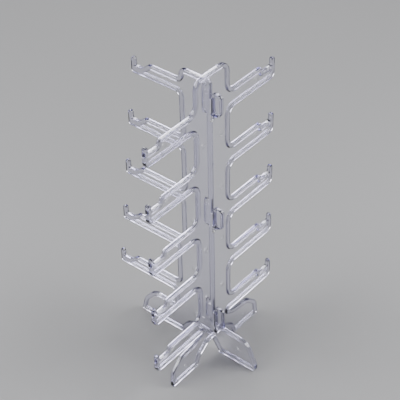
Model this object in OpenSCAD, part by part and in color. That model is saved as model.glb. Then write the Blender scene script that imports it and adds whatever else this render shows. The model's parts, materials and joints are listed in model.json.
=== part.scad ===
// Counter-top display rack for five pairs of glasses, moulded in clear plastic.
// Two flat mouldings cross at right angles. The temple frame is a plate in the XZ plane with a
// pair of arms on each tier, which carry the temples of the glasses. The nose frame is a plate
// in the YZ plane with one arm on each tier towards -Y, which carries the nose bridge. Three
// hook lugs on the nose frame pass through slots in the temple frame, and the temple frame then
// drops onto them. Each moulding is a thin web with a thick rim along its edge.
// Millimetres. The origin is on the table, under the middle of the rack's bounding box.

/* [Tiers] */
// Height from one tier to the next
tier_pitch = 60; // [58:0.5:62]

/* [Moulding] */
// Width of the rim, measured in the plane of the plate
rim_w = 4.2; // [3.6:0.1:4.4]
// Thickness of the rim, measured through the plate
rim_t = 4.2; // [3.4:0.1:4.8]
// Thickness of the web inside the rim
web_t = 1.6; // [1.2:0.1:2]
// Running gap around the hook lugs and between the two mouldings
clearance = 0.3; // [0.3:0.05:0.5]

/* [Temple frame] */
// Half the width of the temple frame's spine
spine_half = 23; // [22:0.5:25]
// Distance from the middle to the outer side of a temple arm
temple_reach = 88.1; // [84:0.1:92]
// Underside of the lowest temple arm, above the table
temple_arm_z = 38.2; // [38:0.1:40]
// Height of the spine's cap above the underside of the top temple arm
cap_rise = 50.9; // [46:0.1:54]
// Distance from the middle to the toe of a side foot
side_toe = 66.8; // [64:0.1:70]

/* [Nose frame] */
// Distance from the temple frame to the tip of the top nose arm
nose_reach = 89.9; // [86:0.1:94]
// How much further each lower nose arm reaches than the one above
nose_rake = 7.65; // [6:0.05:8.5]
// Depth of the nose frame's spine in front of the temple frame
spine_depth = 34.8; // [33:0.1:36]
// Underside of the lowest nose arm, above the table
nose_arm_z = 53.2; // [51:0.1:55]
// Distance from the temple frame to the toe of the rear foot
rear_toe = 52.5; // [50:0.1:56]
// Distance from the temple frame to the toe of the nose foot
nose_toe = 95.6; // [94:0.1:98]

/* [Hidden] */
tiers = 5;
tier_list = [1:tiers];              // the top tier is tier 1

arc_step = 15;                      // degrees turned by each facet of a rounded corner
sharpest = 0.5;                     // smallest radius that an inset leaves on an outer corner
plane_y = (nose_reach + nose_rake * (tiers - 1) - rear_toe) / 2;  // the temple frame's mid plane
pole = web_t / 2 + clearance;       // from that plane to the faces the temple web slides between
clear_plastic = [0.86, 0.88, 0.95, 0.5];

// Heights on a temple arm, measured up from its underside
temple_rail_top = 19.3;
temple_saddle_top = 13.9;
temple_finger_top = 20.6;
temple_saddle_w = 13.4;
// Heights and lengths on a nose arm, measured up from its underside and back from its tip
nose_rail_top = 14.3;
nose_saddle_top = 7.8;
nose_finger_top = 15.5;
nose_saddle_end = 12;
nose_ramp_end = 20.5;

bend = 8;                           // radius where a temple arm leaves the spine
nose_bend = 5;                      // the same on the nose frame
finger_r = 1.9;                     // radius on the tip of a finger
bay_step = [0, 0.3, 0, 1.8, 9.3];   // how far the nose spine stands out above each nose arm
slit = 1;                           // height of the slit between a side foot and the arm above it
slit_end = 21;
side_arch_top = 19.9;
nose_foot_top = 30.8;               // floor of the bay under the lowest nose arm
nose_foot_root = 50.1;              // how far in that bay goes
nose_cap_rise = 25.9;               // top of the nose frame above the underside of its top arm
nose_top = nose_arm_z + tier_pitch * (tiers - 1) + nose_cap_rise;
cap_z = temple_arm_z + tier_pitch * (tiers - 1) + cap_rise;

// Hook lugs, numbered from the bottom
lug_h = 23.3;
lug_w = 10.9;
lug_rim = 2.5;
lug_low = 34.3;                     // foot of the bottom lug above the table
top_lug_rise = 6.1;                 // foot of the top lug above the underside of the top temple arm
lug_pitch = (temple_z(1) + top_lug_rise - lug_low) / 2;
lift = 6.5;                         // how far the temple frame rises to free the lugs
neck_h = lug_h - lift;
slot_half = rim_t / 2 + clearance;
pad_w = 5;                          // thick pad behind each lug

// Where one named section of a moulding ends and the next begins
spare = 1;                          // room left round a rounded corner or an arm
temple_cut = spine_half + bend + spare;
side_cut = temple_arm_z - slit / 2;
nose_cut = nose_foot_root + spare;
foot_cut = 36.5;
arch_cut = 17;
far = 500;                          // larger than the rack

function temple_z(tier) = temple_arm_z + tier_pitch * (tiers - tier);
function nose_z(tier) = nose_arm_z + tier_pitch * (tiers - tier);
function nose_tip(tier) = nose_reach + nose_rake * (tier - 1);
function lug_z(lug) = lug_low + lug_pitch * lug;

// ------------------------------------------------------------------ outlines
// An outline is a closed list of corners [across, up, radius], walked clockwise.

function flat(lists) = [for (list = lists, item = list) item];
function unit(v) = v / norm(v);
function turn(a, b) = a[0] * b[1] - a[1] * b[0];
function place(corner) = [corner[0], corner[1]];
function before(list, i) = list[(i + len(list) - 1) % len(list)];
function after(list, i) = list[(i + 1) % len(list)];

// The points of the arc that rounds one corner
function corner_arc(last, corner, next) =
    let (back = unit(place(last) - place(corner)),
         on = unit(place(next) - place(corner)),
         half = acos(back * on) / 2,
         centre = place(corner) + unit(back + on) * corner[2] / sin(half),
         start = place(corner) + back * corner[2] / tan(half) - centre,
         sweep = (turn(on, back) > 0 ? 1 : -1) * (180 - 2 * half),
         steps = max(1, round(abs(sweep) / arc_step)))
    [for (i = [0:steps]) let (angle = sweep * i / steps)
        centre + [start[0] * cos(angle) - start[1] * sin(angle),
                  start[0] * sin(angle) + start[1] * cos(angle)]];

function rounded(corners) = flat([for (i = [0:len(corners) - 1])
    corners[i][2] == 0 ? [place(corners[i])]
                       : corner_arc(before(corners, i), corners[i], after(corners, i))]);

// The outline moved into the plate by w: outer corners tighten and inner corners widen
function inset(corners, w) = [for (i = [0:len(corners) - 1])
    let (here = place(corners[i]),
         way_in = unit(here - place(before(corners, i))),
         way_out = unit(place(after(corners, i)) - here),
         inward = [way_in[1] + way_out[1], -way_in[0] - way_out[0]] * w / (1 + way_in * way_out))
    [here[0] + inward[0], here[1] + inward[1],
     turn(way_in, way_out) < 0 ? max(corners[i][2] - w, sharpest) : corners[i][2] + w]];

// ------------------------------------------------------------------ temple frame
// One side's arm; the window inside the rim runs under the saddle and stops short of the finger

function temple_arm_outline(z, finger) = concat(
    [[spine_half, z + temple_rail_top, bend],
     [temple_reach - rim_w - temple_saddle_w - 1.5, z + temple_rail_top, 2.5],
     [temple_reach - rim_w - temple_saddle_w, z + temple_saddle_top, 1.2]],
    finger ? [[temple_reach - rim_w, z + temple_saddle_top, 1.8],
              [temple_reach - rim_w, z + temple_finger_top, finger_r],
              [temple_reach, z + temple_finger_top, finger_r]]
           : [[temple_reach, z + temple_saddle_top, rim_w + 0.8]],
    [[temple_reach, z, 6]]);

// The right half, from the cap down to the arch between the feet
function temple_half(finger) = concat(
    [[spine_half, cap_z, 11]],
    flat([for (tier = tier_list) concat(
        temple_arm_outline(temple_z(tier), finger),
        tier < tiers ? [[spine_half, temple_z(tier), bend]] : [])]),
    [[slit_end, temple_arm_z, slit * 0.45],
     [slit_end, temple_arm_z - slit, slit * 0.45],
     [30, 32.6, 14],
     [side_toe - 14.5, 29.8, 14],
     [side_toe - 1, 17.4, 10],
     [side_toe, 0, 2.5],
     [29, 0, 1.5],
     [23.5, 11.5, 8],
     [11, side_arch_top, 14]]);

function temple_outline(finger) = let (half = temple_half(finger))
    concat(half, [for (i = [len(half) - 1:-1:0]) [-half[i][0], half[i][1], half[i][2]]]);

// Slots for the hook lugs; the lowest one is open at its foot
module lug_slots() {
    for (lug = [0:2]) {
        slot_foot = lug == 0 ? 0 : lug_z(lug) - lift - clearance;
        translate([-slot_half, slot_foot])
            square([2 * slot_half, lug_z(lug) + neck_h + clearance - slot_foot]);
    }
}

// Stands a flat shape upright in the temple frame's plane
module temple_plate(thickness) {
    translate([0, plane_y + thickness / 2, 0])
        rotate([90, 0, 0])
            linear_extrude(thickness) children();
}

// The part of the temple frame that lies in the region drawn by the children
module temple_section() {
    temple_plate(web_t) intersection() {
        difference() {
            polygon(rounded(temple_outline(true)));
            lug_slots();
        }
        children();
    }
    temple_plate(rim_t) intersection() {
        difference() {
            polygon(rounded(temple_outline(true)));
            polygon(rounded(inset(temple_outline(false), rim_w)));
            lug_slots();
        }
        children();
    }
}

module temple_spine() {
    color(clear_plastic) temple_section()
        translate([-temple_cut, side_cut]) square([2 * temple_cut, far]);
}

module temple_foot(side) {
    color(clear_plastic) temple_section()
        mirror([side == "left" ? 0 : 1, 0]) square([far, side_cut]);
}

module temple_arm(side, tier) {
    color(clear_plastic) temple_section()
        mirror([side == "left" ? 0 : 1, 0])
            translate([temple_cut, temple_z(tier) - slit / 2])
                square([far, temple_finger_top + slit]);
}

// ------------------------------------------------------------------ nose frame
// Drawn with the distance in front of the temple frame (towards -Y) as the first coordinate

function nose_arm_outline(tier, finger) =
    let (z = nose_z(tier),
         tip = nose_tip(tier),
         slope = (nose_ramp_end - nose_saddle_end) / (nose_rail_top - nose_saddle_top))
    concat(
        [[spine_depth + bay_step[tier - 1], z + nose_rail_top, nose_bend],
         [tip - nose_ramp_end, z + nose_rail_top, 4]],
        finger ? [[tip - nose_saddle_end, z + nose_saddle_top, 3],
                  [tip - rim_w, z + nose_saddle_top, 1.8],
                  [tip - rim_w, z + nose_finger_top, finger_r],
                  [tip, z + nose_finger_top, finger_r],
                  [tip, z, 3]]
               : [[tip - nose_ramp_end + slope * nose_rail_top, z, 1]]);

function nose_outline(finger) = concat(
    [[pole, nose_top, 6],
     [spine_depth, nose_top, 6]],
    flat([for (tier = tier_list) concat(
        nose_arm_outline(tier, finger),
        tier < tiers ? [[spine_depth + bay_step[tier], nose_z(tier), nose_bend]] : [])]),
    [[nose_foot_root, nose_arm_z, 3],
     [nose_foot_root, nose_foot_top, 3],
     [nose_toe - 18.1, 34.4, 16],
     [nose_toe - 4.6, 18.5, 12],
     [nose_toe, 0, 2.5],
     [40.5, 0, 1.5],
     [31, 14, 10],
     [18, 19.4, 18],
     [4, 16.4, 12],
     [-6.5, 0, 1.5],
     [-50, 0, 3],
     [-rear_toe, 6, 5],
     [-42.5, 29, 12],
     [-33, 33.5, 12],
     [-lug_w - pole, 35, 0],
     [pole, 35, 0]]);

function lug_outline(lug) =
    [[-pole - lug_w, lug_z(lug) + lug_h, 4],
     [-pole, lug_z(lug) + lug_h, 3.5],
     [-pole, lug_z(lug), 0.5],
     [-pole - lug_w, lug_z(lug), 7]];

module nose_plate(thickness) {
    translate([-thickness / 2, plane_y, 0])
        rotate([90, 0, 90])
            linear_extrude(thickness)
                mirror([1, 0]) children();
}

module lug_pads() {
    for (lug = [0:2]) {
        translate([pole, lug_z(lug)]) square([rim_w + pad_w, lug_h + lift]);
    }
}

// The part of the nose frame, without its lugs, that lies in the region drawn by the children
module nose_section() {
    nose_plate(web_t) intersection() {
        polygon(rounded(nose_outline(true)));
        children();
    }
    nose_plate(rim_t) intersection() {
        union() {
            difference() {
                polygon(rounded(nose_outline(true)));
                polygon(rounded(inset(nose_outline(false), rim_w)));
            }
            lug_pads();
        }
        children();
    }
}

module nose_spine() {
    color(clear_plastic) nose_section()
        translate([0, foot_cut]) square([nose_cut, far]);
}

module nose_arm(tier) {
    color(clear_plastic) nose_section()
        translate([nose_cut, nose_z(tier) - spare])
            square([far, nose_finger_top + 2 * spare]);
}

module nose_foot() {
    color(clear_plastic) nose_section()
        translate([arch_cut, 0]) square([far, foot_cut]);
}

module rear_foot() {
    color(clear_plastic) nose_section()
        translate([arch_cut - far, 0]) square([far, foot_cut]);
}

// A hook: its neck passes through the slot, and its head stands up in front of the web
module hook_lug(lug) {
    head_foot = max(lug_z(lug), foot_cut);
    color(clear_plastic) {
        nose_plate(rim_t) intersection() {
            union() {
                difference() {
                    polygon(rounded(lug_outline(lug)));
                    polygon(rounded(inset(lug_outline(lug), lug_rim)));
                }
                translate([-pole, lug_z(lug)]) square([2 * pole, neck_h]);
            }
            translate([-far, head_foot]) square([2 * far, far]);
        }
        nose_plate(web_t) intersection() {
            polygon(rounded(lug_outline(lug)));
            translate([-far, head_foot]) square([2 * far, far]);
        }
    }
}

temple_spine();
temple_foot("left");  // temple_foot_left
temple_foot("right");  // temple_foot_right
for (side = ["left", "right"], tier = tier_list) {
    temple_arm(side, tier);
}
nose_spine();
nose_foot();
rear_foot();
for (tier = tier_list) {
    nose_arm(tier);
}
hook_lug(0);  // hook_lug_bottom
hook_lug(1);  // hook_lug_middle
hook_lug(2);  // hook_lug_top
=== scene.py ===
import json
import math
import bpy
import bmesh
from mathutils import Matrix, Vector
from mathutils.geometry import tessellate_polygon


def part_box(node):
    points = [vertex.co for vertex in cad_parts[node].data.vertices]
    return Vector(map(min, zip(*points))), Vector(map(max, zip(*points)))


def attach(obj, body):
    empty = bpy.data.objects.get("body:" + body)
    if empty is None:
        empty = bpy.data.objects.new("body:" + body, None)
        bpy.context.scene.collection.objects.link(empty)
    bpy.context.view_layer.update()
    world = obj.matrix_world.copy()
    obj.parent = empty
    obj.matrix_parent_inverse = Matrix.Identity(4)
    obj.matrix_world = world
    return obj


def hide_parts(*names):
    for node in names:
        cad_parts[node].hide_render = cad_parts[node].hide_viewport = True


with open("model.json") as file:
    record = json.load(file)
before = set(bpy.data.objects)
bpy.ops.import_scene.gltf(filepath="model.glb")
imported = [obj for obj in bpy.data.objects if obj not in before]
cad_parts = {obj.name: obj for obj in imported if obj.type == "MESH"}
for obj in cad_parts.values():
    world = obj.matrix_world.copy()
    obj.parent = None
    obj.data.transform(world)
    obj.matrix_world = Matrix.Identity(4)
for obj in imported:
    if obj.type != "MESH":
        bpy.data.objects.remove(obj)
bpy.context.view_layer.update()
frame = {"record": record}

# The rack is two clear mouldings that cross at right angles. Each one is drawn as a flat
# outline of rounded corners, [across, up, radius], and then given its rim, web and slots.

MM = 0.001
ARC_STEP = math.radians(8)

# Moulding section
SPINE_LOW, SPINE_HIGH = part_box("temple_spine")
RIM_THICKNESS = SPINE_HIGH[1] - SPINE_LOW[1]
PLANE_Y = (SPINE_HIGH[1] + SPINE_LOW[1]) / 2
RIM_WIDTH = 4.2 * MM
WEB_THICKNESS = 1.6 * MM
CLEARANCE = 0.3 * MM
OUTER_ROUND = 1.0 * MM
INNER_ROUND = 0.9 * MM
WEB_FILLET = 0.6 * MM
ROUND_STEPS = 6

TIERS = range(1, 6)
# From the temple frame's middle plane to the faces of the nose frame that its web slides between
POLE = WEB_THICKNESS / 2 + CLEARANCE
CAP_TOP = SPINE_HIGH[2]
CAP_ROUND = 11 * MM
SPINE_HALF = 23 * MM
FINGER_ROUND = 1.9 * MM

# Feet: how far out their toes are, the bay under the lowest nose arm, the rear foot's shoulder
SIDE_TOE = 66.8 * MM
NOSE_TOE = 95.6 * MM
REAR_TOE = 52.5 * MM
NOSE_FOOT_ROOT = 50.1 * MM
NOSE_FOOT_TOP = 30.8 * MM
REAR_SHOULDER = 35 * MM

# Temple arms: heights above each arm's underside
TEMPLE_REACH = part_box("temple_arm_left_1")[1][0]
TEMPLE_RAIL = 19.3 * MM
TEMPLE_SADDLE = 13.9 * MM
TEMPLE_FINGER = 20.6 * MM
TEMPLE_SADDLE_LENGTH = 13.4 * MM
TEMPLE_BEND = 8 * MM
SLIT = 1 * MM
SLIT_END = 21 * MM
SLIT_ROUND = 0.45 * MM

# Nose arms: heights above each arm's underside, lengths back from its tip
NOSE_RAIL = 14.3 * MM
NOSE_SADDLE = 7.8 * MM
NOSE_FINGER = 15.5 * MM
NOSE_SADDLE_END = 12 * MM
NOSE_RAMP_END = 20.5 * MM
NOSE_BEND = 5 * MM
NOSE_SPINE_DEPTH = 34.8 * MM
BAY_STEPS = [0, 0.3 * MM, 0, 1.8 * MM, 9.3 * MM]
NOSE_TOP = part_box("nose_spine")[1][2]

# Hook lugs, bottom first
LUG_HEIGHT = 23.3 * MM
LUG_WIDTH = 10.9 * MM
LUG_RIM = 2.5 * MM
LIFT = 6.5 * MM
LUG_TOPS = [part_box("hook_lug_" + level)[1][2] for level in ("bottom", "middle", "top")]
PAD_WIDTH = 5 * MM
PAD_HEIGHT = 30 * MM
LOWEST_PAD = 41 * MM
SLOT_HALF = RIM_THICKNESS / 2 + CLEARANCE
CRISP = 0.5 * MM                # radius of the corners round a slot and a neck

# Marks left by the mould
EJECTOR_RADIUS = 2.8 * MM
SMALL_EJECTOR_RADIUS = 2.2 * MM
EJECTOR_DEPTH = 0.3 * MM
GATE_RADIUS = 1.1 * MM
GATE_HEIGHT = 0.5 * MM
CIRCLE_STEPS = 28

# Where each flat drawing stands. The temple frame's front is +Y, and the nose frame is drawn with
# -Y as its first direction.
TEMPLE_PLACE = Matrix(((1, 0, 0, 0), (0, 0, 1, PLANE_Y), (0, 1, 0, 0), (0, 0, 0, 1)))
NOSE_PLACE = Matrix(((0, 0, 1, 0), (-1, 0, 0, PLANE_Y), (0, 1, 0, 0), (0, 0, 0, 1)))


def temple_arm_foot(tier):
    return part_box(f"temple_arm_left_{tier}")[1][2] - TEMPLE_FINGER


def nose_arm_foot(tier):
    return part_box(f"nose_arm_{tier}")[1][2] - NOSE_FINGER


def nose_tip(tier):
    return PLANE_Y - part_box(f"nose_arm_{tier}")[0][1]


# ------------------------------------------------------------------ outlines

def place(corner):
    return Vector((corner[0], corner[1]))


def turn(a, b):
    return a.x * b.y - a.y * b.x


def corner_arc(last, corner, following):
    """The points of the arc that rounds one corner. Their number depends only on the turn."""
    back = (place(last) - place(corner)).normalized()
    onward = (place(following) - place(corner)).normalized()
    half = math.acos(max(-1, min(1, back.dot(onward)))) / 2
    centre = place(corner) + (back + onward).normalized() * corner[2] / math.sin(half)
    start = place(corner) + back * corner[2] / math.tan(half) - centre
    sweep = math.copysign(math.pi - 2 * half, turn(onward, back))
    steps = max(2, round(abs(sweep) / ARC_STEP))
    return [centre + Matrix.Rotation(sweep * i / steps, 2) @ start for i in range(steps + 1)]


def rounded(corners):
    points = []
    for i, corner in enumerate(corners):
        points += corner_arc(corners[i - 1], corner, corners[(i + 1) % len(corners)])
    return points


def inset(corners, depth):
    """The outline moved into the plate: outer corners tighten and inner corners widen."""
    moved = []
    for i, corner in enumerate(corners):
        way_in = (place(corner) - place(corners[i - 1])).normalized()
        way_out = (place(corners[(i + 1) % len(corners)]) - place(corner)).normalized()
        inward = Vector((way_in.y + way_out.y, -way_in.x - way_out.x)) / (1 + way_in.dot(way_out))
        spot = place(corner) + inward * depth
        outer = turn(way_in, way_out) < 0
        radius = max(corner[2] - depth, 0.05 * MM) if outer else corner[2] + depth
        moved.append((spot.x, spot.y, radius))
    return moved


def circle(centre, radius):
    angles = [2 * math.pi * i / CIRCLE_STEPS for i in range(CIRCLE_STEPS)]
    middle = Vector(centre)
    return [middle + radius * Vector((math.cos(angle), math.sin(angle))) for angle in angles]


def temple_arm_outline(foot, finger):
    saddle_end = TEMPLE_REACH - RIM_WIDTH
    saddle_start = saddle_end - TEMPLE_SADDLE_LENGTH
    corners = [
        (SPINE_HALF, foot + TEMPLE_RAIL, TEMPLE_BEND),
        (saddle_start - 1.5 * MM, foot + TEMPLE_RAIL, 2.5 * MM),
        (saddle_start, foot + TEMPLE_SADDLE, 1.2 * MM),
    ]
    if finger:
        corners += [
            (saddle_end, foot + TEMPLE_SADDLE, 1.8 * MM),
            (saddle_end, foot + TEMPLE_FINGER, FINGER_ROUND),
            (TEMPLE_REACH, foot + TEMPLE_FINGER, FINGER_ROUND),
        ]
    else:
        corners.append((TEMPLE_REACH, foot + TEMPLE_SADDLE, 5 * MM))
    return corners + [(TEMPLE_REACH, foot, 6 * MM)]


def temple_outline(finger):
    """The temple frame's edge: one half from the cap down to the arch, then its mirror image."""
    half = [(SPINE_HALF, CAP_TOP, CAP_ROUND)]
    for tier in TIERS:
        half += temple_arm_outline(temple_arm_foot(tier), finger)
        if tier < TIERS[-1]:
            half.append((SPINE_HALF, temple_arm_foot(tier), TEMPLE_BEND))
    lowest = temple_arm_foot(TIERS[-1])
    half += [
        (SLIT_END, lowest, SLIT_ROUND),
        (SLIT_END, lowest - SLIT, SLIT_ROUND),
        (30 * MM, 32.6 * MM, 14 * MM),
        (SIDE_TOE - 14.5 * MM, 29.8 * MM, 14 * MM),
        (SIDE_TOE - 1 * MM, 17.4 * MM, 10 * MM),
        (SIDE_TOE, 0, 2.5 * MM),
        (29 * MM, 0, 1.5 * MM),
        (23.5 * MM, 11.5 * MM, 8 * MM),
        (11 * MM, 19.9 * MM, 14 * MM),
    ]
    return half + [(-x, z, r) for x, z, r in reversed(half)]


def nose_arm_outline(tier, finger):
    foot = nose_arm_foot(tier)
    tip = nose_tip(tier)
    corners = [
        (NOSE_SPINE_DEPTH + BAY_STEPS[tier - 1], foot + NOSE_RAIL, NOSE_BEND),
        (tip - NOSE_RAMP_END, foot + NOSE_RAIL, 4 * MM),
    ]
    if finger:
        return corners + [
            (tip - NOSE_SADDLE_END, foot + NOSE_SADDLE, 3 * MM),
            (tip - RIM_WIDTH, foot + NOSE_SADDLE, 1.8 * MM),
            (tip - RIM_WIDTH, foot + NOSE_FINGER, FINGER_ROUND),
            (tip, foot + NOSE_FINGER, FINGER_ROUND),
            (tip, foot, 3 * MM),
        ]
    slope = (NOSE_RAMP_END - NOSE_SADDLE_END) / (NOSE_RAIL - NOSE_SADDLE)
    return corners + [(tip - NOSE_RAMP_END + slope * NOSE_RAIL, foot, 1 * MM)]


def lug_outline(top):
    """A hook lug, walked upwards from the underside of its neck."""
    outer = -POLE - LUG_WIDTH
    foot = top - LUG_HEIGHT
    return [
        (outer, foot, 7 * MM),
        (outer, top, 4 * MM),
        (-POLE, top, 3.5 * MM),
        (-POLE, top - LIFT, CRISP),
        (POLE, top - LIFT, CRISP),
    ]


def nose_outline(solid):
    """The nose frame's edge. solid takes in the fingers and the hook lugs, which have no window."""
    corners = [(POLE, NOSE_TOP, 6 * MM), (NOSE_SPINE_DEPTH, NOSE_TOP, 6 * MM)]
    for tier in TIERS:
        corners += nose_arm_outline(tier, solid)
        if tier < TIERS[-1]:
            corners.append((NOSE_SPINE_DEPTH + BAY_STEPS[tier], nose_arm_foot(tier), NOSE_BEND))
    corners += [
        (NOSE_FOOT_ROOT, nose_arm_foot(TIERS[-1]), 3 * MM),
        (NOSE_FOOT_ROOT, NOSE_FOOT_TOP, 3 * MM),
        (NOSE_TOE - 18.1 * MM, 34.4 * MM, 16 * MM),
        (NOSE_TOE - 4.6 * MM, 18.5 * MM, 12 * MM),
        (NOSE_TOE, 0, 2.5 * MM),
        (40.5 * MM, 0, 1.5 * MM),
        (31 * MM, 14 * MM, 10 * MM),
        (18 * MM, 19.4 * MM, 18 * MM),
        (4 * MM, 16.4 * MM, 12 * MM),
        (-6.5 * MM, 0, 1.5 * MM),
        (2.5 * MM - REAR_TOE, 0, 3 * MM),
        (-REAR_TOE, 6 * MM, 5 * MM),
        (-42.5 * MM, 29 * MM, 12 * MM),
        (-33 * MM, 33.5 * MM, 12 * MM),
    ]
    outer = -LUG_WIDTH - POLE
    if not solid:
        return corners + [(outer, REAR_SHOULDER, CRISP), (POLE, REAR_SHOULDER, CRISP)]
    corners += [(outer, REAR_SHOULDER, 1.5 * MM)] + lug_outline(LUG_TOPS[0])[1:]
    for top in LUG_TOPS[1:]:
        corners += [(POLE, top - LUG_HEIGHT, CRISP)] + lug_outline(top)
    return corners


def nose_window():
    """The window inside the nose frame's rim, stepped round the thick pad behind each lug."""
    corners = inset(nose_outline(False), RIM_WIDTH)
    edge = POLE + RIM_WIDTH
    highest = NOSE_TOP - RIM_WIDTH - 2 * MM
    for top in LUG_TOPS:
        foot = max(top - LUG_HEIGHT, LOWEST_PAD)
        head = min(top - LUG_HEIGHT + PAD_HEIGHT, highest)
        corners += [
            (edge, foot, 0.6 * MM),
            (edge + PAD_WIDTH, foot, 0.8 * MM),
            (edge + PAD_WIDTH, head, 0.8 * MM),
            (edge, head, 0.6 * MM),
        ]
    return corners


# ------------------------------------------------------------------ plates

def quarter(radius, start, end):
    """Steps round a quarter turn as (sideways, up) with both measured from the arc's centre."""
    degrees = [start + (end - start) * i / ROUND_STEPS for i in range(ROUND_STEPS + 1)]
    angles = [math.radians(turned) for turned in degrees]
    return [(radius * math.cos(angle), radius * math.sin(angle)) for angle in angles]


def edge_profile():
    """(inset, height) of the plate's outer edge, from one flat side round to the other."""
    top = RIM_THICKNESS / 2 - OUTER_ROUND
    front = [(OUTER_ROUND - side, top + up) for side, up in quarter(OUTER_ROUND, 90, 0)]
    return front + [(side, -up) for side, up in reversed(front)]


def window_profile():
    """(inset, height) of a window's edge, from the rim's flat top down to the web."""
    top = RIM_THICKNESS / 2 - INNER_ROUND
    foot = WEB_THICKNESS / 2 + WEB_FILLET
    brow = [(side - INNER_ROUND, top + up) for side, up in quarter(INNER_ROUND, 90, 0)]
    valley = [(WEB_FILLET - side, foot - up) for side, up in quarter(WEB_FILLET, 0, 90)]
    return brow + valley


class Plate:
    """Gathers the faces of one moulding, drawn flat as (across, up) with a height either way."""

    def __init__(self):
        self.mesh = bmesh.new()

    def loop(self, points, height):
        return [self.mesh.verts.new((p.x, p.y, height)) for p in points]

    def strip(self, first, second):
        count = len(first)
        for i in range(count):
            j = (i + 1) % count
            self.mesh.faces.new((first[i], first[j], second[j], second[i]))

    def sheet(self, *loops):
        verts = [vert for loop in loops for vert in loop]
        for triangle in tessellate_polygon([[vert.co for vert in loop] for loop in loops]):
            self.mesh.faces.new([verts[i] for i in triangle])

    def sweep(self, corners, profile, side=1):
        loops = [self.loop(rounded(inset(corners, depth)), side * height) for depth, height in profile]
        for first, second in zip(loops, loops[1:]):
            self.strip(first, second)
        return loops[0], loops[-1]

    def mark(self, points, side, depth):
        """A round dimple or stub on the web. Gives the loop that the web's face leaves open."""
        rim = self.loop(points, side * WEB_THICKNESS / 2)
        floor = self.loop(points, side * (WEB_THICKNESS / 2 - depth))
        self.strip(rim, floor)
        self.sheet(floor)
        return rim

    def object(self, name, matrix):
        bmesh.ops.recalc_face_normals(self.mesh, faces=self.mesh.faces)
        self.mesh.transform(matrix)
        if matrix.determinant() < 0:
            bmesh.ops.reverse_faces(self.mesh, faces=self.mesh.faces)
        data = bpy.data.meshes.new(name)
        self.mesh.to_mesh(data)
        self.mesh.free()
        piece = bpy.data.objects.new(name, data)
        bpy.context.collection.objects.link(piece)
        return piece


def moulding(name, outline, windows, marks, matrix):
    """One whole moulding. windows is a list of outlines, and marks lists the marks in each."""
    plate = Plate()
    front_edge, back_edge = plate.sweep(outline, edge_profile())
    for side, edge in ((1, front_edge), (-1, back_edge)):
        brows = []
        for window, spots in zip(windows, marks):
            brow, valley = plate.sweep(window, window_profile(), side)
            brows.append(brow)
            holes = [plate.mark(circle(spot, radius), side, depth)
                     for spot, radius, depth, face in spots if face == side]
            plate.sheet(valley, *holes)
        plate.sheet(edge, *brows)
    return plate.object(name, matrix)


def smooth(piece, plate_normal):
    """Smooth shading within the flats, the walls and the rounds, and a crease where they meet."""
    def kind(face):
        lean = abs(face.normal.dot(plate_normal))
        return "flat" if lean > 0.999 else "wall" if lean < 0.001 else "round"

    shape = bmesh.new()
    shape.from_mesh(piece.data)
    for face in shape.faces:
        face.smooth = True
    for edge in shape.edges:
        kinds = {kind(face) for face in edge.link_faces}
        edge.smooth = len(kinds) == 1 and edge.calc_face_angle(0) < math.radians(35)
    shape.to_mesh(piece.data)
    shape.free()


def cut(piece, cutters):
    """Takes the cutters' shapes out of the piece for good."""
    for cutter in cutters:
        boolean = piece.modifiers.new("slot", "BOOLEAN")
        boolean.operation = "DIFFERENCE"
        boolean.solver = "EXACT"
        boolean.object = cutter
    bpy.context.view_layer.update()
    worked = piece.evaluated_get(bpy.context.evaluated_depsgraph_get())
    cut_mesh = bpy.data.meshes.new_from_object(worked)
    piece.modifiers.clear()
    piece.data = cut_mesh
    for cutter in cutters:
        bpy.data.objects.remove(cutter)


def slot_cutter(top):
    """A prism through the temple frame. The lowest slot is open, so its prism reaches under the arch."""
    foot = top - LUG_HEIGHT - LIFT - CLEARANCE
    if top == LUG_TOPS[0]:
        foot = -5 * MM
    head = top - LIFT + CLEARANCE
    corners = [
        (-SLOT_HALF, head, CRISP),
        (SLOT_HALF, head, CRISP),
        (SLOT_HALF, foot, CRISP),
        (-SLOT_HALF, foot, CRISP),
    ]
    plate = Plate()
    front, back = [plate.loop(rounded(corners), side * RIM_THICKNESS) for side in (1, -1)]
    plate.strip(front, back)
    plate.sheet(front)
    plate.sheet(back)
    return plate.object("slot_cutter", TEMPLE_PLACE)


def ejector(across, up, radius=EJECTOR_RADIUS):
    """A shallow round dimple on the back of the web."""
    return (across, up), radius, EJECTOR_DEPTH, -1


def gate(across, up):
    """The stub on the front of the web where the plastic ran in."""
    return (across, up), GATE_RADIUS, -GATE_HEIGHT, 1


def temple_marks():
    spots = []
    for tier in TIERS:
        foot = temple_arm_foot(tier)
        for side in (1, -1):
            spots.append(ejector(side * 62.4 * MM, foot + 9.6 * MM))
            if tier < TIERS[-1]:
                spots.append(ejector(side * 12 * MM, foot - 20 * MM))
    for side in (1, -1):
        spots.append(ejector(side * 46 * MM, 12 * MM))
    return spots + [gate(0, 231 * MM)]


def nose_marks():
    spots = []
    for tier in TIERS:
        foot = nose_arm_foot(tier)
        spots.append(ejector(56 * MM, foot + 7.1 * MM, SMALL_EJECTOR_RADIUS))
        spots.append(ejector(24 * MM, foot - 20 * MM))
    return spots + [ejector(70 * MM, 14 * MM), ejector(-28 * MM, 15 * MM), gate(20 * MM, 250 * MM)]


def lug_window(top):
    """The window inside a hook lug's ring."""
    outer = -POLE - LUG_WIDTH
    foot = top - LUG_HEIGHT
    ring = [
        (outer, foot, 6 * MM),
        (outer, top, 4.5 * MM),
        (-POLE, top, 4.5 * MM),
        (-POLE, foot, 4.5 * MM),
    ]
    return inset(ring, LUG_RIM)


# ------------------------------------------------------------------ material

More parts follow.
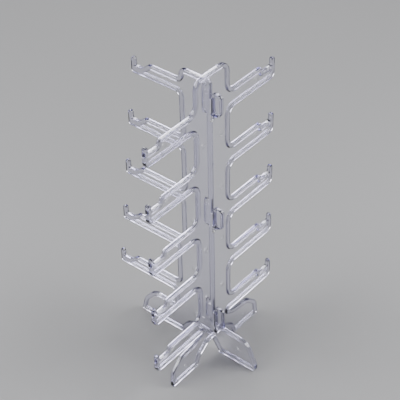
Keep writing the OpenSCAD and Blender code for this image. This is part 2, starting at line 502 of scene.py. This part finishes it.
def clear_plastic():
    """Clear moulded styrene: violet in its depth, with fine scuffs and slow waves from the mould."""
    material = bpy.data.materials.new("clear_plastic")
    material.use_nodes = True
    nodes = material.node_tree.nodes
    links = material.node_tree.links
    shader = nodes["Principled BSDF"]
    shader.inputs["Base Color"].default_value = (0.985, 0.985, 0.995, 1)
    shader.inputs["Transmission Weight"].default_value = 1
    shader.inputs["IOR"].default_value = 1.55
    depth = nodes.new("ShaderNodeVolumeAbsorption")
    depth.inputs["Color"].default_value = (0.46, 0.43, 0.87, 1)
    depth.inputs["Density"].default_value = 65
    links.new(depth.outputs["Volume"], nodes["Material Output"].inputs["Volume"])

    where = nodes.new("ShaderNodeTexCoord")
    mottle = nodes.new("ShaderNodeTexNoise")
    mottle.inputs["Scale"].default_value = 90
    mottle.inputs["Detail"].default_value = 6
    links.new(where.outputs["Object"], mottle.inputs["Vector"])
    scuffs = nodes.new("ShaderNodeMapRange")
    scuffs.inputs["From Min"].default_value = 0.35
    scuffs.inputs["From Max"].default_value = 0.8
    scuffs.inputs["To Min"].default_value = 0.005
    scuffs.inputs["To Max"].default_value = 0.04
    links.new(mottle.outputs["Fac"], scuffs.inputs["Value"])
    links.new(scuffs.outputs["Result"], shader.inputs["Roughness"])

    waves = nodes.new("ShaderNodeTexNoise")
    waves.inputs["Scale"].default_value = 14
    waves.inputs["Detail"].default_value = 2
    links.new(where.outputs["Object"], waves.inputs["Vector"])
    ripple = nodes.new("ShaderNodeBump")
    ripple.inputs["Strength"].default_value = 0.03
    ripple.inputs["Distance"].default_value = 1 * MM
    links.new(waves.outputs["Fac"], ripple.inputs["Height"])
    links.new(ripple.outputs["Normal"], shader.inputs["Normal"])
    return material


def pale_floor():
    material = bpy.data.materials.new("pale_floor")
    material.use_nodes = True
    shader = material.node_tree.nodes["Principled BSDF"]
    shader.inputs["Base Color"].default_value = (0.215, 0.215, 0.22, 1)
    shader.inputs["Roughness"].default_value = 0.7
    return material


# ------------------------------------------------------------------ the rack

TEMPLE_NODES = frame["record"]["behaviour"]["bodies"]["temple_frame"]
NOSE_NODES = frame["record"]["behaviour"]["bodies"]["nose_frame"]
finish = clear_plastic()

temple_frame = moulding(
    "temple_frame_moulding", temple_outline(True),
    [inset(temple_outline(False), RIM_WIDTH)], [temple_marks()], TEMPLE_PLACE)
cut(temple_frame, [slot_cutter(top) for top in LUG_TOPS])

nose_frame = moulding(
    "nose_frame_moulding", nose_outline(True),
    [nose_window()] + [lug_window(top) for top in LUG_TOPS],
    [nose_marks(), [], [], []], NOSE_PLACE)

for piece, body, nodes, plate_normal in (
        (temple_frame, "temple_frame", TEMPLE_NODES, Vector((0, 1, 0))),
        (nose_frame, "nose_frame", NOSE_NODES, Vector((1, 0, 0)))):
    piece.data.materials.clear()
    piece.data.materials.append(finish)
    smooth(piece, plate_normal)
    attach(piece, body)
    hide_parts(*nodes)


# ------------------------------------------------------------------ floor, light and camera

CAMERA_AZIMUTH = 130.132


def floor(half):
    corners = [(-half, -half, 0), (half, -half, 0), (half, half, 0), (-half, half, 0)]
    data = bpy.data.meshes.new("floor")
    data.from_pydata(corners, [], [(0, 1, 2, 3)])
    data.materials.append(pale_floor())
    slab = bpy.data.objects.new("floor", data)
    bpy.context.collection.objects.link(slab)


def beside(turn_angle, reach, height):
    """A place round the rack, at an angle from the camera's own side."""
    angle = math.radians(CAMERA_AZIMUTH - 90 + turn_angle)
    return reach * math.cos(angle), reach * math.sin(angle), height


def softbox(name, spot, size, power, aim=(0, 0, 0.17)):
    data = bpy.data.lights.new(name, "AREA")
    data.shape = "RECTANGLE"
    data.size, data.size_y = size
    data.energy = power
    lamp = bpy.data.objects.new(name, data)
    lamp.location = spot
    lamp.rotation_euler = (Vector(aim) - Vector(spot)).to_track_quat("-Z", "Y").to_euler()
    lamp.visible_camera = False
    bpy.context.collection.objects.link(lamp)


def soft_sun(name, spot, power):
    """A broad soft disc of light, the same all over the floor."""
    data = bpy.data.lights.new(name, "SUN")
    data.angle = math.radians(45)
    data.energy = power
    lamp = bpy.data.objects.new(name, data)
    lamp.rotation_euler = (-Vector(spot)).to_track_quat("-Z", "Y").to_euler()
    bpy.context.collection.objects.link(lamp)


def sky(horizon, zenith):
    """A world that fades from a pale horizon to a dim top, so glossy edges have both to mirror."""
    world = bpy.data.worlds.new("studio")
    world.use_nodes = True
    nodes = world.node_tree.nodes
    links = world.node_tree.links
    where = nodes.new("ShaderNodeTexCoord")
    split = nodes.new("ShaderNodeSeparateXYZ")
    fade = nodes.new("ShaderNodeValToRGB")
    links.new(where.outputs["Generated"], split.inputs["Vector"])
    links.new(split.outputs["Z"], fade.inputs["Fac"])
    fade.color_ramp.elements[0].color = horizon
    fade.color_ramp.elements[1].position = 0.45
    fade.color_ramp.elements[1].color = zenith
    links.new(fade.outputs["Color"], nodes["Background"].inputs["Color"])
    bpy.context.scene.world = world


def camera(azimuth, elevation, roll, distance, target, lens):
    az, el, tilt = (math.radians(angle) for angle in (azimuth, elevation, roll))
    back = Vector((math.sin(az) * math.cos(el), -math.cos(az) * math.cos(el), math.sin(el)))
    right = (-back).cross(Vector((0, 0, 1))).normalized()
    up = right.cross(-back)
    level, upright = right, up
    right = level * math.cos(tilt) + upright * math.sin(tilt)
    up = upright * math.cos(tilt) - level * math.sin(tilt)
    data = bpy.data.cameras.new("camera")
    data.lens = lens
    data.sensor_width = 36
    eye = bpy.data.objects.new("camera", data)
    turned = Matrix((right, up, back)).transposed().to_4x4()
    eye.matrix_world = Matrix.Translation(Vector(target) + back * distance) @ turned
    bpy.context.collection.objects.link(eye)
    bpy.context.scene.camera = eye


floor(8)
sky((0.15, 0.15, 0.16, 1), (0.05, 0.05, 0.055, 1))
softbox("overhead", (0, 0.1, 1.5), (0.8, 0.8), 3)
# Mirrored by the flat tops of the rims
softbox("behind", beside(180, 1.0, 1.05), (0.8, 0.2), 8, (0, 0, 0.25))
for side, turn_angle in (("left", -90), ("right", 90)):
    soft_sun(f"high_{side}", beside(turn_angle * 0.9, 1.1, 0.9), 3.3)
    # Lights the floor beside the rack, which its upright edges mirror
    softbox(f"low_{side}", beside(turn_angle, 0.6, 0.45), (0.4, 0.4), 4, beside(turn_angle, 0.6, 0))
camera(CAMERA_AZIMUTH, 38.911, -1.339, 1.1205, (-0.0075, PLANE_Y - 0.0216, 0.1747), 109.12)
